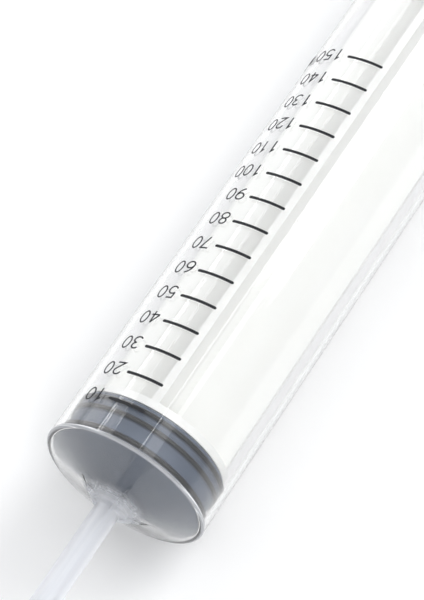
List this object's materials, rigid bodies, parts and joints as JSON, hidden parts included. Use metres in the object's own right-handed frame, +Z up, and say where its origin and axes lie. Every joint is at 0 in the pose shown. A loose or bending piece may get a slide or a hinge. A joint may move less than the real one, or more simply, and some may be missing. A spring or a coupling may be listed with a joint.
{
  "type": "meat injector syringe",
  "caption": "Large clear graduated syringe with a rubber piston, cross-bladed plunger, winged finger flange, long nozzle and a slip-on perforated needle, lying on its side.",
  "frame": {"origin": "middle of the footprint, on the surface the syringe lies on", "axes": "+X along the syringe's axis from the needle to the thumb disc, +Z up, the scale on the upper side"},
  "size_m": [0.3538, 0.068, 0.043],
  "materials": {
    "clear_plastic": "polished clear polypropylene, faintly milky",
    "ink": "screen-printed black ink",
    "seal_rubber": "smooth moulded, blue-grey",
    "rod_plastic": "white translucent polypropylene",
    "hub_plastic": "white moulded polypropylene",
    "needle_steel": "drawn stainless tube, satin"
  },
  "bodies": {
    "barrel": {"barrel": "clear_plastic", "graduation_lines": "ink", "graduation_numbers": "ink"},
    "seal": {"piston_seal": "seal_rubber"},
    "plunger": {"plunger_rod": "rod_plastic"},
    "needle": {"needle_hub": "hub_plastic", "needle_tube": "needle_steel", "needle_point": "needle_steel"}
  },
  "joints": [
    {"name": "plunger_slide", "type": "slide", "parent": "barrel", "child": "seal", "axis": [1, 0, 0], "range_m": [0, 0.15537]},
    {"name": "plunger_turn", "type": "hinge", "parent": "seal", "child": "plunger", "pos_m": [-0.00158, 0, 0.0215], "axis": [1, 0, 0], "continuous": true},
    {"name": "needle_pull_off", "type": "slide", "parent": "barrel", "child": "needle", "axis": [-1, 0, 0], "range_m": [0, 0.02]}
  ]
}
